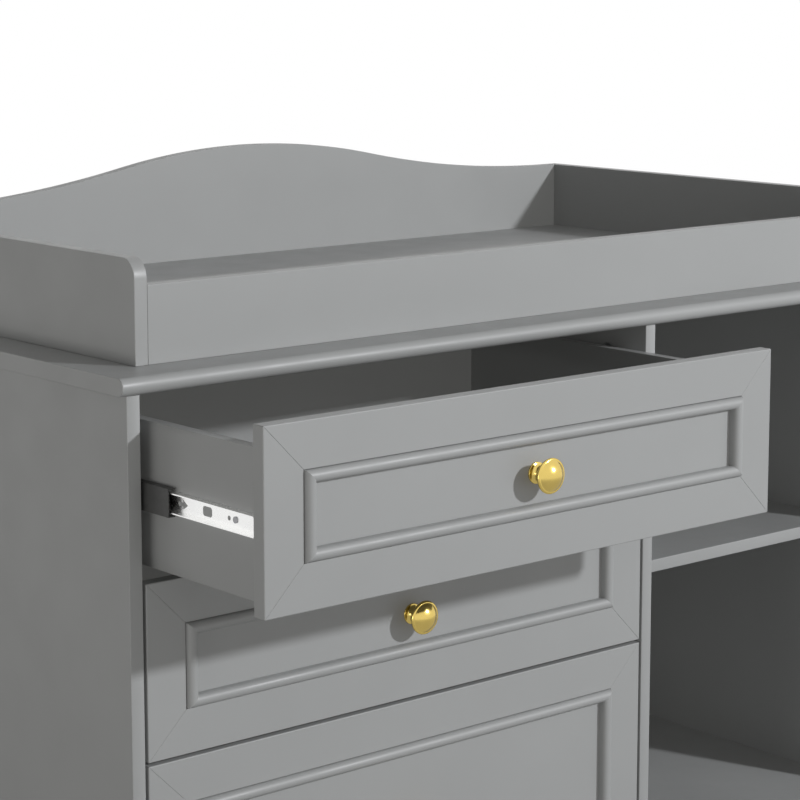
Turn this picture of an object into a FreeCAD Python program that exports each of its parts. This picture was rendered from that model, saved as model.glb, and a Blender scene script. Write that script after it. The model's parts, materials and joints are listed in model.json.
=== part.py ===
"""Changing table: a three-drawer cabinet with an open shelf bay, and a changing tray on its cap board.

Lengths are millimetres. The drawing frame has x = 0 at the cabinet's left face, y = 0 at the plane
of the drawer fronts with +y towards the wall, and z = 0 on the floor. Each piece is moved to the
part's own frame as it is written: its origin is the centre of the base of the whole part, with the
top drawer standing open as it is modelled.
"""
import FreeCAD, Part
import math
import os

# ---------------------------------------------------------------- driving dimensions
# Carcass
board = 15.0
cabinet_width = 1167.0
cabinet_depth = 595.0
cap_top = 780.0
cap_thickness = 18.0
cap_overhang = 10.0
base_height = 100.0
drawer_bay_width = 684.0
back_sheet = 5.0
back_rebate = 8.0
shelf_top = 460.0
shelf_recess = 80.0
shelf_side_gap = 1.0
base_rail_recess = 20.0
base_rail_lift = 12.0
rear_rail_inset = 35.0
glide_height = 5.0
glide_radius = 7.0
glide_inset = 30.0

# Changing tray
tray_inset = 40.0
tray_front_inset = 43.6
tray_side_height = 104.5
tray_side_corner = 20.0
tray_rail_height = 78.5
tray_floor_lift = 4.5
wave_half_length = 513.0
wave_rise = 53.0
wave_crest_share = 0.37

# Drawer fronts
reveal = 3.5
small_front_height = 178.0
front_thickness = 16.0
frame_width = 45.6
frame_arris = 0.6
panel_recess = 5.0
quirk = 0.4
bead_width = 12.4
bead_proud = 6.2

# Drawer boxes and their slides
box_wall = 12.0
box_below_front_top = 24.0
box_above_front_bottom = 11.0
box_length = 450.0
box_bottom_sheet = 5.0
box_bottom_raise = 10.0
box_groove = 6.0
slide_gap = 12.7
slide_length = 450.0
slide_setback = 18.0
slide_sheet = 1.2
inner_member_length = 440.0
middle_member_length = 400.0
middle_member_setback = 36.0
top_drawer_opening = 188.0

# Slide members: distances across are from the cabinet wall towards the drawer
fixed_member = {"web": 0.0, "flange_end": 10.2, "half_height": 17.5, "lip": 3.0}
middle_member = {"web": 3.0, "flange_end": 11.0, "half_height": 13.8, "lip": slide_sheet}
inner_member = {"web": slide_gap, "flange_end": 5.4, "half_height": 10.0, "lip": slide_sheet}

# Openings punched in the inner member: each run is measured from the drawer front plane
round_hole_radius = 2.3
round_hole_place = 63.0
slot_run = (89.5, 104.0)
slot_half_height = 4.7
slot_corner = 3.0
arrow_outline = ((128.0, 0.0), (136.0, -5.0), (136.0, -2.0), (143.0, -2.0),
                 (143.0, 2.0), (136.0, 2.0), (136.0, 5.0), (128.0, 0.0))

# Ball retainers: heights from the slide's centre line, distances across, and start along the member
retainer_length = 130.0
outer_race = {"heights": (14.2, 15.9), "across": (5.5, 8.5), "start": 240.0}
inner_race = {"heights": (10.4, 12.2), "across": (6.5, 10.0), "start": 8.0}

# Knob: radii, and distances in front of the panel face
knob_base_radius = 11.0
knob_base_edge = 1.6
knob_cove_middle = (6.6, 4.4)
knob_neck_radius = 5.5
knob_neck_start = 9.5
knob_neck_end = 12.5
knob_flare_middle = (9.4, 17.2)
knob_rim_radius = 18.0
knob_rim_start = 19.6
knob_rim_end = 22.4
knob_rim_rounding = 0.8
knob_dome_inset = 2.4
knob_dome_start = 22.9
knob_reach = 29.5
knob_screw_radius = 2.0
knob_screw_bite = 12.0

# Fasteners
cam_radius = 7.5
cam_thickness = 12.5
cam_edge_distance = 34.0
cam_bolt_radius = 3.5
cam_bolt_bite = 11.0
cam_bolt_stop = 2.0
box_bolt_radius = 2.5
box_bolt_bite = 9.0
box_cam_radius = 6.0
box_cam_thickness = 9.5
box_cam_edge_distance = 24.0
dowel_radius = 4.0
dowel_length = 30.0
dowel_bite = 10.0
cam_rows = (60.0, 535.0)
dowel_rows = (120.0, 475.0)
pin_radius = 2.5
pin_length = 16.0
screw_head_radius = 3.4
screw_head_height = 2.0
screw_shank_radius = 1.6
box_screw_length = 32.0
slide_screw_length = 8.0
slide_screw_radius = 1.7
slide_screw_head_radius = 3.2
slide_screw_head = 0.9
slide_screw_rows = (35.0, 200.0, 380.0)

# Where rows of fasteners fall, as shares of the edge that they follow
back_screw_heights = (0.06, 0.35, 0.65, 0.94)
back_screw_columns = (0.15, 0.4, 0.8)
tray_screw_columns = (0.08, 0.5, 0.92)
tray_screw_rows = (0.25, 0.85)
tray_corner_dowels = (0.3, 0.75)
tray_floor_dowels = (0.2, 0.5, 0.8)
box_back_screws = (0.25, 0.8)
box_cams = (0.25, 0.75)

# ---------------------------------------------------------------- worked out from them
cap_underside = cap_top - cap_thickness
bottom_top = base_height + board
divider_left = board + drawer_bay_width
divider_right = divider_left + board
right_inner = cabinet_width - board
carcass_depth = cabinet_depth - back_sheet
side_foot = glide_height
opening_height = cap_underside - bottom_top
tall_front_height = opening_height - 4 * reveal - 2 * small_front_height
tray_left = tray_inset
tray_right = cabinet_width - tray_inset
tray_floor_top = cap_top + tray_floor_lift + board
bay_centre_x = board + drawer_bay_width / 2
nosing_radius = cap_thickness / 2
panel_thickness = front_thickness - panel_recess
drawer_reach = top_drawer_opening + knob_reach - panel_recess
to_part_frame = FreeCAD.Vector(-cabinet_width / 2, (drawer_reach - cabinet_depth) / 2, 0)

X_AXIS, Y_AXIS, Z_AXIS = (FreeCAD.Vector(*axis) for axis in ((1, 0, 0), (0, 1, 0), (0, 0, 1)))


# ---------------------------------------------------------------- small helpers
def block(x0, x1, y0, y1, z0, z1):
    """A board or bar between two planes on each axis."""
    return Part.makeBox(x1 - x0, y1 - y0, z1 - z0, FreeCAD.Vector(x0, y0, z0))


def rod(radius, length, start, direction):
    """A round bar that leaves start along direction."""
    return Part.makeCylinder(radius, length, FreeCAD.Vector(*start), direction)


def solid_from(edges, sweep):
    """A solid whose flat outline is the closed run of edges, swept along a vector."""
    return Part.Face(Part.Wire(edges)).extrude(sweep)


def straight(points):
    """Line edges through the points, in order."""
    return [Part.makeLine(a, b) for a, b in zip(points, points[1:])]


def arc(start, middle, end):
    return Part.Arc(start, middle, end).toShape()


def fitted(piece, fixings):
    """The piece with a snug hole for each fixing that reaches it."""
    for fixing in fixings:
        if piece.BoundBox.intersect(fixing.BoundBox):
            piece = piece.cut(fixing)
    return piece


def mirrored(shape, plane_x):
    """The right-hand twin of a left-hand piece."""
    return shape.mirror(FreeCAD.Vector(plane_x, 0, 0), X_AXIS)


def moved(shape, x=0.0, y=0.0, z=0.0):
    copy = shape.copy()
    copy.translate(FreeCAD.Vector(x, y, z))
    return copy


def write(name, solids):
    """Writes one node: a single piece, or a group of like pieces, in the part's own frame."""
    shapes = [solid for shape in solids for solid in shape.Solids]
    node = shapes[0] if len(shapes) == 1 else Part.makeCompound(shapes)
    moved(node, *to_part_frame).exportStep(f"parts/{name}.step")


# ---------------------------------------------------------------- fasteners
def wood_screw(head_centre, direction, length):
    """A countersunk wood screw whose head is flush at head_centre and whose point lies along direction."""
    start = FreeCAD.Vector(*head_centre)
    head = Part.makeCone(screw_head_radius, screw_shank_radius, screw_head_height, start, direction)
    shank = Part.makeCylinder(screw_shank_radius, length, start, direction)
    return head.fuse(shank).removeSplitter()


def cam_fixing(joint, along, face):
    """A cam bolt and its cam disc.

    joint is the point where the two boards meet, along points into the board that holds the disc,
    and face points from that board's middle to the face that the disc is pushed in from.
    """
    joint = FreeCAD.Vector(*joint)
    bolt_start = joint - along * cam_bolt_bite
    bolt_end = cam_bolt_bite + cam_edge_distance + cam_bolt_stop
    bolt = Part.makeCylinder(cam_bolt_radius, bolt_end, bolt_start, along)
    disc_start = joint + along * cam_edge_distance + face * (board / 2)
    disc = Part.makeCylinder(cam_radius, cam_thickness, disc_start, face * -1)
    return bolt, disc.cut(bolt)


def dowel(joint, along):
    """A beech dowel across a joint, with the longer part along the given direction."""
    start = FreeCAD.Vector(*joint) - along * dowel_bite
    return Part.makeCylinder(dowel_radius, dowel_length, start, along)


def carcass_fixings():
    """Cam bolts, cam discs and dowels of the cap board, the bottom board and the base rails."""
    bolts, discs, dowels = [], [], []
    left, right, up, down = X_AXIS * -1, X_AXIS, Z_AXIS, Z_AXIS * -1
    middle_of_bottom = base_height + board / 2
    joints = ((board / 2, cap_underside, down, right),
              (divider_left + board / 2, cap_underside, down, left),
              (right_inner + board / 2, cap_underside, down, left),
              (divider_left + board / 2, bottom_top, up, left),
              (board, middle_of_bottom, right, down),
              (right_inner, middle_of_bottom, left, down))
    for x, z, along, face in joints:
        for y in cam_rows:
            bolt, disc = cam_fixing((x, y, z), along, face)
            bolts.append(bolt)
            discs.append(disc)
        dowels += [dowel((x, y, z), along) for y in dowel_rows]
    rail_height_centre = (base_height + base_rail_lift) / 2
    rear_rail_front = carcass_depth - rear_rail_inset - board
    for y in (base_rail_recess + board / 2, rear_rail_front + board / 2):
        dowels.append(dowel((board, y, rail_height_centre), X_AXIS))
        dowels.append(dowel((right_inner, y, rail_height_centre), X_AXIS * -1))
    middle_x = divider_left + board / 2
    dowels.append(dowel((middle_x, base_rail_recess + board, rail_height_centre), Y_AXIS))
    dowels.append(dowel((middle_x, rear_rail_front, rail_height_centre), Y_AXIS * -1))
    return bolts, discs, dowels


def shelf_pins():
    """Four steel pins under the shelf, half of each in the board beside it."""
    height = shelf_top - board - pin_radius
    rows = (shelf_recess + 2 * pin_length, carcass_depth - 3 * pin_length)
    starts = (divider_right - pin_length / 2, right_inner - pin_length / 2)
    return [rod(pin_radius, pin_length, (x, y, height), X_AXIS) for x in starts for y in rows]


def back_sheet_screws():
    """Screws round the edge of the back sheet and up the divider."""
    rows = [bottom_top + opening_height * share for share in back_screw_heights]
    columns = (board - back_rebate / 2, divider_left + board / 2, right_inner + back_rebate / 2)
    places = [(x, z) for x in columns for z in rows]
    low_edge = base_height + board / 2
    places += [(cabinet_width * share, low_edge) for share in back_screw_columns]
    return [wood_screw((x, cabinet_depth, z), Y_AXIS * -1, board) for x, z in places]


def tray_screws():
    """Screws that come up through the cap board into the tray's bottom board."""
    length = cap_thickness + tray_floor_lift + board / 2
    columns = [tray_left + (tray_right - tray_left) * share for share in tray_screw_columns]
    rows = [cabinet_depth * share for share in tray_screw_rows]
    return [wood_screw((x, y, cap_underside), Z_AXIS, length) for x in columns for y in rows]


def tray_dowels():
    """Dowels in the tray's corners and along the edges of its bottom board."""
    found = []
    front_y = tray_front_inset + board / 2
    back_y = cabinet_depth - board / 2
    heights = [cap_top + tray_rail_height * share for share in tray_corner_dowels]
    for y in (front_y, back_y):
        for z in heights:
            found.append(dowel((tray_left + board, y, z), X_AXIS))
            found.append(dowel((tray_right - board, y, z), X_AXIS * -1))
    floor_middle = tray_floor_top - board / 2
    for share in tray_floor_dowels:
        x = tray_left + (tray_right - tray_left) * share
        found.append(dowel((x, tray_front_inset + board, floor_middle), Y_AXIS))
        found.append(dowel((x, cabinet_depth - board, floor_middle), Y_AXIS * -1))
    return found


# ---------------------------------------------------------------- carcass
def upright(x0, foot, top):
    return block(x0, x0 + board, 0, carcass_depth, foot, top)


def side_panel(x0, rebate_x0):
    """A side panel that runs to the floor glides, with a rebate for the back sheet."""
    panel = block(x0, x0 + board, 0, cabinet_depth, side_foot, cap_underside)
    rebate = block(rebate_x0, rebate_x0 + back_rebate, carcass_depth, cabinet_depth,
                   base_height, cap_underside)
    return panel.cut(rebate)


def cap_board():
    """The cap board: square at the ends and back, with a full half-round nosing along the front."""
    x0 = -cap_overhang
    corners = ((0, cap_underside), (cabinet_depth, cap_underside), (cabinet_depth, cap_top), (0, cap_top))
    points = [FreeCAD.Vector(x0, y, z) for y, z in corners]
    nose = FreeCAD.Vector(x0, -nosing_radius, cap_top - nosing_radius)
    edges = straight(points) + [arc(points[-1], nose, points[0])]
    return solid_from(edges, X_AXIS * (cabinet_width + 2 * cap_overhang))


def glides():
    """Six round floor glides: under both side panels and under the centre rail."""
    side_rows = (glide_inset, cabinet_depth - glide_inset)
    rear_rail_front = carcass_depth - rear_rail_inset - board
    centre_rows = (base_rail_recess + board + glide_inset, rear_rail_front - glide_inset)
    places = [(x, y) for x in (board / 2, cabinet_width - board / 2) for y in side_rows]
    places += [(divider_left + board / 2, y) for y in centre_rows]
    return [rod(glide_radius, glide_height, (x, y, 0), Z_AXIS) for x, y in places]


# ---------------------------------------------------------------- changing tray
def tray_side(x0):
    """A tray side: a straight board with its front top corner rounded."""
    top = cap_top + tray_side_height
    y0, y1, r = tray_front_inset, cabinet_depth, tray_side_corner
    lean = r * (1 - math.sqrt(0.5))
    outline = ((y0 + r, top), (y1, top), (y1, cap_top), (y0, cap_top), (y0, top - r))
    points = [FreeCAD.Vector(x0, y, z) for y, z in outline]
    corner = arc(points[-1], FreeCAD.Vector(x0, y0 + lean, top - lean), points[0])
    return solid_from(straight(points) + [corner], X_AXIS * board)


def tray_back():
    """The tray's back panel: level shoulders that sweep up to a crest in the middle.

    Each half is a hollow arc and a crest arc that meet with one slope, so that
    tan(slope / 2) = rise / half length.
    """
    y0 = cabinet_depth - board
    x0, x1 = tray_left + board, tray_right - board
    centre = (x0 + x1) / 2
    shoulder = cap_top + tray_side_height
    slope = 2 * math.atan(wave_rise / wave_half_length)
    crest_radius = wave_crest_share * wave_half_length / math.sin(slope)
    hollow_radius = (1 - wave_crest_share) * wave_half_length / math.sin(slope)

    def hollow_point(angle, side):
        along = wave_half_length - hollow_radius * math.sin(angle)
        return FreeCAD.Vector(centre + side * along, y0, shoulder + hollow_radius * (1 - math.cos(angle)))

    left = [hollow_point(angle, -1) for angle in (0, slope / 2, slope)]
    right = [hollow_point(angle, 1) for angle in (slope, slope / 2, 0)]
    crest = FreeCAD.Vector(centre, y0, shoulder + wave_rise)
    assert abs(crest.z - left[2].z - crest_radius * (1 - math.cos(slope))) < 1e-6
    base = [right[2]] + [FreeCAD.Vector(x, y0, z) for x, z in
                         ((x1, shoulder), (x1, cap_top), (x0, cap_top), (x0, shoulder))] + [left[0]]
    edges = [arc(*left), arc(left[2], crest, right[0]), arc(*right)] + straight(base)
    return solid_from(edges, Y_AXIS * board)


# ---------------------------------------------------------------- drawer fronts
def mitre_outline(rect, width, side, y0, y1):
    """One side of a mitred frame: a trapezium that runs from y0 back to y1."""
    x0, x1, z0, z1 = rect
    outer = {"top": ((x0, z1), (x1, z1)), "bottom": ((x1, z0), (x0, z0)),
             "left": ((x0, z0), (x0, z1)), "right": ((x1, z1), (x1, z0))}[side]
    middle_x, middle_z = (x0 + x1) / 2, (z0 + z1) / 2
    inner = [(x + math.copysign(width, middle_x - x), z + math.copysign(width, middle_z - z))
             for x, z in outer]
    points = [FreeCAD.Vector(x, y0, z) for x, z in (*outer, *reversed(inner), outer[0])]
    return solid_from(straight(points), Y_AXIS * (y1 - y0))


def frame_member(rect, side):
    """A stile or rail with its front arrises eased, which leaves a fine V along each mitre."""
    member = mitre_outline(rect, frame_width, side, 0, front_thickness)
    front = [edge for edge in member.Edges if edge.BoundBox.YMax < frame_arris]
    return member.makeChamfer(frame_arris, front)


def bead(rect, side):
    """One length of bead moulding: it stands on the panel, and its half-round is proud of the frame."""
    x0, x1, z0, z1 = rect
    along_x = side in ("top", "bottom")
    start = {"top": z1 - bead_width, "bottom": z0, "left": x0, "right": x1 - bead_width}[side]

    def at(across, y):
        return FreeCAD.Vector(x0, y, start + across) if along_x else FreeCAD.Vector(start + across, y, z0)

    section = straight([at(0, 0), at(0, panel_recess), at(bead_width, panel_recess), at(bead_width, 0)])
    section.append(arc(at(bead_width, 0), at(bead_width / 2, -bead_proud), at(0, 0)))
    sweep = X_AXIS * (x1 - x0) if along_x else Z_AXIS * (z1 - z0)
    mitred = mitre_outline(rect, bead_width, side, -2 * bead_proud, panel_recess)
    return solid_from(section, sweep).common(mitred)


def inset(rect, distance):
    x0, x1, z0, z1 = rect
    return x0 + distance, x1 - distance, z0 + distance, z1 - distance


def knob(centre_z):
    """A mushroom knob turned about a line through the panel's centre, with a blind hole for its screw."""
    def at(radius, reach):
        return FreeCAD.Vector(bay_centre_x + radius, panel_recess - reach, centre_z)

    rim_face, dome_edge = knob_rim_radius - knob_rim_rounding, knob_rim_radius - knob_dome_inset
    dome_height = knob_reach - knob_dome_start
    dome_radius = (dome_edge ** 2 + dome_height ** 2) / (2 * dome_height)
    half_angle = math.asin(dome_edge / dome_radius) / 2
    dome_fall = dome_radius * (1 - math.cos(half_angle))
    dome_middle = at(dome_radius * math.sin(half_angle), knob_reach - dome_fall)
    base = at(knob_base_radius, knob_base_edge)
    neck = [at(knob_neck_radius, knob_neck_start), at(knob_neck_radius, knob_neck_end)]
    rim = [at(rim_face, knob_rim_start), at(rim_face, knob_rim_end)]
    rim_middle = at(knob_rim_radius, (knob_rim_start + knob_rim_end) / 2)
    dome = [at(dome_edge, knob_dome_start), at(0, knob_reach)]
    edges = straight([dome[1], at(0, 0), at(knob_base_radius, 0), base])
    edges += [arc(base, at(*knob_cove_middle), neck[0])] + straight(neck)
    edges += [arc(neck[1], at(*knob_flare_middle), rim[0]), arc(rim[0], rim_middle, rim[1])]
    edges += straight([rim[1], dome[0]]) + [arc(dome[0], dome_middle, dome[1])]
    turned = Part.Face(Part.Wire(edges)).revolve(at(0, 0), Y_AXIS, 360)
    return turned.cut(rod(knob_screw_radius, knob_screw_bite, at(0, 0), Y_AXIS * -1))


def knob_screw(centre_z):
    """The machine screw that holds the knob from inside the drawer."""
    tip = (bay_centre_x, panel_recess - knob_screw_bite, centre_z)
    shank = rod(knob_screw_radius, knob_screw_bite + panel_thickness, tip, Y_AXIS)
    head = rod(2 * knob_screw_radius, knob_screw_radius, (bay_centre_x, front_thickness, centre_z), Y_AXIS)
    return shank.fuse(head).removeSplitter()


# ---------------------------------------------------------------- ball-bearing slides
def channel(member, y0, length, centre_z):
    """A channel with lipped flanges, on the left-hand side of the drawer bay."""
    web, end = member["web"], member["flange_end"]
    step = math.copysign(slide_sheet, end - web)
    half, lip = member["half_height"], member["lip"]
    lipped = [(end - step, half - slide_sheet), (end - step, half - lip), (end, half - lip)]
    plain = [(end, half - slide_sheet)]
    upper = (lipped if lip > slide_sheet else plain) + [(end, half), (web, half)]
    lower = [(across, -height) for across, height in reversed(upper)]
    inside = [(web + step, -(half - slide_sheet)), (web + step, half - slide_sheet)]
    outline = inside + upper + lower + inside[:1]
    points = [FreeCAD.Vector(board + across, y0, centre_z + height) for across, height in outline]
    return solid_from(straight(points), Y_AXIS * length)


def slide_openings(centre_z):
    """The punched openings of a drawer member: a round hole, a rounded slot and an arrow-shaped catch."""
    x0, depth = board + slide_gap - 2 * slide_sheet, 3 * slide_sheet
    hole = rod(round_hole_radius, depth, (x0, round_hole_place, centre_z), X_AXIS)
    slot = block(x0, x0 + depth, *slot_run, centre_z - slot_half_height, centre_z + slot_half_height)
    across = [edge for edge in slot.Edges if edge.BoundBox.XLength > slide_sheet]
    points = [FreeCAD.Vector(x0, y, centre_z + z) for y, z in arrow_outline]
    return [hole, slot.makeFillet(slot_corner, across), solid_from(straight(points), X_AXIS * depth)]


def ball_retainers(centre_z):
    """Strips that hold the bearing balls: one pair outside the middle member and one pair inside it."""
    strips = []
    for race in (outer_race, inner_race):
        low, high = race["heights"]
        x0, x1 = (board + across for across in race["across"])
        y0 = slide_setback + middle_member_setback + race["start"]
        strips.append(block(x0, x1, y0, y0 + retainer_length, centre_z + low, centre_z + high))
        strips.append(block(x0, x1, y0, y0 + retainer_length, centre_z - high, centre_z - low))
    return strips


def slide_screws(x, direction, centre_z):
    """Short screws through a slide member's web."""
    screws = []
    for row in slide_screw_rows:
        at = (x, slide_setback + row, centre_z)
        shank = rod(slide_screw_radius, slide_screw_length, at, direction)
        head = rod(slide_screw_head_radius, slide_screw_head, at, direction)
        screws.append(shank.fuse(head).removeSplitter())
    return screws


# ---------------------------------------------------------------- drawers
def drawer_levels():
    """Name, bottom height, front height and opening of each drawer, from the top down."""
    rows = (("top_drawer", small_front_height, top_drawer_opening),
            ("middle_drawer", small_front_height, 0.0),
            ("bottom_drawer", tall_front_height, 0.0))
    top = cap_underside - reveal
    for name, height, opening in rows:
        yield name, top - height, height, opening
        top -= height + reveal


def drawer_cams(z_rows):
    """Small cam fixings between the box sides and the back of the front, for the left side."""
    middle, inner_face = board + slide_gap + box_wall / 2, board + slide_gap + box_wall
    bolt_start, disc_y = front_thickness - box_bolt_bite, front_thickness + box_cam_edge_distance
    bolt_length = disc_y + cam_bolt_stop - bolt_start
    bolts = [rod(box_bolt_radius, bolt_length, (middle, bolt_start, z), Y_AXIS) for z in z_rows]
    discs = [rod(box_cam_radius, box_cam_thickness, (inner_face, disc_y, z), X_AXIS * -1) for z in z_rows]
    return bolts + [disc.cut(bolt) for disc, bolt in zip(discs, bolts)]


def both_sides(shapes):
    return shapes + [mirrored(shape, bay_centre_x) for shape in shapes]


def build_drawer(name, z0, height, opening):
    """Writes every node of one drawer, and its middle slide members, at the drawer's opening."""
    rect = (board + reveal, divider_left - reveal, z0, z0 + height)
    panel_rect = inset(rect, frame_width)
    bead_rect = inset(panel_rect, quirk)
    centre_z = z0 + height / 2
    sides = ("top", "bottom", "left", "right")

    box_z0, box_z1 = z0 + box_above_front_bottom, z0 + height - box_below_front_top
    box_middle = (box_z0 + box_z1) / 2
    box_x0, box_x1 = board + slide_gap, divider_left - slide_gap
    box_y0, box_y1 = front_thickness, front_thickness + box_length
    sheet_z0 = box_z0 + box_bottom_raise
    sheet_z1 = sheet_z0 + box_bottom_sheet

    back_middle = box_y1 - box_wall / 2
    back_rows = [sheet_z1 + (box_z1 - sheet_z1) * share for share in box_back_screws]
    screws = both_sides([wood_screw((box_x0, back_middle, z), X_AXIS, box_screw_length) for z in back_rows])
    slide_screw_x = board + slide_gap - slide_sheet - slide_screw_head
    screws += both_sides(slide_screws(slide_screw_x, X_AXIS, box_middle))
    cams = both_sides(drawer_cams([box_z0 + (box_z1 - box_z0) * share for share in box_cams]))
    screw = knob_screw(centre_z)

    sheet_x0, sheet_x1 = box_x0 + box_wall - box_groove, box_x1 - box_wall + box_groove
    bottom = block(sheet_x0, sheet_x1, box_y0, box_y1, sheet_z0, sheet_z1)
    side = block(box_x0, box_x0 + box_wall, box_y0, box_y1, box_z0, box_z1)
    walls = [fitted(wall.cut(bottom), screws + cams) for wall in (side, mirrored(side, bay_centre_x))]
    back = block(box_x0 + box_wall, box_x1 - box_wall, box_y1 - box_wall, box_y1, sheet_z1, box_z1)
    x0, x1, low, high = panel_rect
    panel = block(x0, x1, panel_recess, front_thickness, low, high)
    inner = channel(inner_member, slide_setback, inner_member_length, box_middle)
    for cut in slide_openings(box_middle):
        inner = inner.cut(cut)

    nodes = {
        "front_frame": [fitted(frame_member(rect, side_name), cams) for side_name in sides],
        "front_bead": [bead(bead_rect, side_name) for side_name in sides],
        "front_panel": [fitted(panel, [screw])],
        "box_sides": walls,
        "box_back": [fitted(back, screws)],
        "box_bottom": [bottom],
        "knob": [knob(centre_z)],
        "knob_screw": [screw],
        "box_screws": screws,
        "cam_fixings": cams,
        "slide_inner": [fitted(member, screws) for member in both_sides([inner])],
    }
    for part_name, solids in nodes.items():
        write(f"{name}_{part_name}", [moved(solid, y=-opening) for solid in solids])

    middle_y = slide_setback + middle_member_setback
    middle = [channel(middle_member, middle_y, middle_member_length, box_middle)]
    middle += ball_retainers(box_middle)
    write(f"{name}_slide_middle", [moved(solid, y=-opening / 2) for solid in both_sides(middle)])

    fixed_screws = both_sides(slide_screws(board + slide_sheet + slide_screw_head, X_AXIS * -1, box_middle))
    fixed = both_sides([channel(fixed_member, slide_setback, slide_length, box_middle)])
    return [fitted(member, fixed_screws) for member in fixed], fixed_screws


# ---------------------------------------------------------------- the whole part
def build():
    os.makedirs("parts", exist_ok=True)
    fixed_members, fixed_screws = [], []
    for level in drawer_levels():
        members, screws = build_drawer(*level)
        fixed_members += members
        fixed_screws += screws

    bolts, discs, dowels = carcass_fixings()
    dowels += tray_dowels()
    pins, back_screws, top_screws = shelf_pins(), back_sheet_screws(), tray_screws()
    fixings = bolts + discs + dowels + pins + back_screws + top_screws + fixed_screws

    rear_rail_back = carcass_depth - rear_rail_inset
    rear_rail_front = rear_rail_back - board
    front_rail_back = base_rail_recess + board
    tray_x0, tray_x1 = tray_left + board, tray_right - board
    rail_y1 = tray_front_inset + board
    boards = {
        "left_side_panel": side_panel(0, board - back_rebate),
        "right_side_panel": side_panel(right_inner, right_inner),
        "divider_panel": upright(divider_left, bottom_top, cap_underside),
        "cap_board": cap_board(),
        "bottom_board": block(board, right_inner, 0, carcass_depth, base_height, bottom_top),
        "back_sheet": block(board - back_rebate, right_inner + back_rebate,
                            carcass_depth, cabinet_depth, base_height, cap_underside),
        "shelf_board": block(divider_right + shelf_side_gap, right_inner - shelf_side_gap, shelf_recess,
                             carcass_depth - shelf_side_gap, shelf_top - board, shelf_top),
        "front_base_rail": block(board, right_inner, base_rail_recess, front_rail_back,
                                 base_rail_lift, base_height),
        "rear_base_rail": block(board, right_inner, rear_rail_front, rear_rail_back,
                                base_rail_lift, base_height),
        "centre_base_rail": block(divider_left, divider_right, front_rail_back, rear_rail_front,
                                  side_foot, base_height),
        "tray_left_side": tray_side(tray_left),
        "tray_right_side": tray_side(tray_right - board),
        "tray_front_rail": block(tray_x0, tray_x1, tray_front_inset, rail_y1,
                                 cap_top, cap_top + tray_rail_height),
        "tray_back_panel": tray_back(),
        "tray_bottom_board": block(tray_x0, tray_x1, rail_y1, cabinet_depth - board,
                                   cap_top + tray_floor_lift, tray_floor_top),
    }
    for name, shape in boards.items():
        write(name, [fitted(shape, fixings)])
    groups = {
        "floor_glides": glides(),
        "shelf_pins": pins,
        "cam_bolts": bolts,
        "cam_discs": discs,
        "panel_dowels": dowels,
        "back_sheet_screws": back_screws,
        "tray_screws": top_screws,
        "slide_fixed_members": fixed_members,
        "slide_fixed_screws": fixed_screws,
    }
    for name, solids in groups.items():
        write(name, solids)


build()
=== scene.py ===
# %% [markdown]
# # A changing table
# This file dresses a packed furniture model so that it looks like the real thing. The piece is a
# low cabinet in satin grey paint, with three drawers on the left, an open bay with one shelf on
# the right, and a shallow changing tray on top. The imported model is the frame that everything
# hangs on: it says where each board is and which of them slide.

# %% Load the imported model
import json
import math

import bmesh
import bpy
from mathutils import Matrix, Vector


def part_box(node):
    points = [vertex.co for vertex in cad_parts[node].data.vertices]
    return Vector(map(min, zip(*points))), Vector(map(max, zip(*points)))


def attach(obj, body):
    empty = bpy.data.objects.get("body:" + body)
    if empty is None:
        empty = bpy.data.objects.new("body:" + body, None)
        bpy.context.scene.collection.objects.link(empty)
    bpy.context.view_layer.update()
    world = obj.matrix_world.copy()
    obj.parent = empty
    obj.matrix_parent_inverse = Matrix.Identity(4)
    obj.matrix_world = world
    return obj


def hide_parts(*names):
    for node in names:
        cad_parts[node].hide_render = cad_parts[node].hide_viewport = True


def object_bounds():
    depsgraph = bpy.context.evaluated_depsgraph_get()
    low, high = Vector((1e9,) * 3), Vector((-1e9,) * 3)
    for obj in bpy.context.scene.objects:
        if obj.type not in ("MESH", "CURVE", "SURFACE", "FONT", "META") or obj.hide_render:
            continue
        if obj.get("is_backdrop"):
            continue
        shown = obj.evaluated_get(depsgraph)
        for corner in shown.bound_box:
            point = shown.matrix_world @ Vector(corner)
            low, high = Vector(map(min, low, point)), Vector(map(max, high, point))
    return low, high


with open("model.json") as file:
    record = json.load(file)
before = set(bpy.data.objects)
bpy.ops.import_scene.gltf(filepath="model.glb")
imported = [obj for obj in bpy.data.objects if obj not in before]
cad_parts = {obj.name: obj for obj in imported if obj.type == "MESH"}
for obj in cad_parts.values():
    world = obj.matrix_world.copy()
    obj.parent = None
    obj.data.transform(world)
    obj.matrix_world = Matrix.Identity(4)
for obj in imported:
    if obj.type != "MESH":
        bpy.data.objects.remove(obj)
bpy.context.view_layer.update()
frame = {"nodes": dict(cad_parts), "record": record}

# %% [markdown]
# ## The camera
# A long lens a few steps back keeps upright boards nearly parallel, as a product picture does. The
# camera stands to the left and a little above, and looks at the open top drawer. Its place is
# given by the point it looks at, a heading, a tilt and a distance, because those four are easier
# to adjust one at a time than a position.

# %% Place the camera
scene = bpy.context.scene
drawer_front_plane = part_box("top_drawer_front_frame")[0].y
aim = Vector((-0.4059, drawer_front_plane, 0.8386))
heading, tilt = math.radians(40.24), math.radians(8.37)
camera_distance = 2.2447
long_lens, lens_shift = 109.4, -0.1

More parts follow.
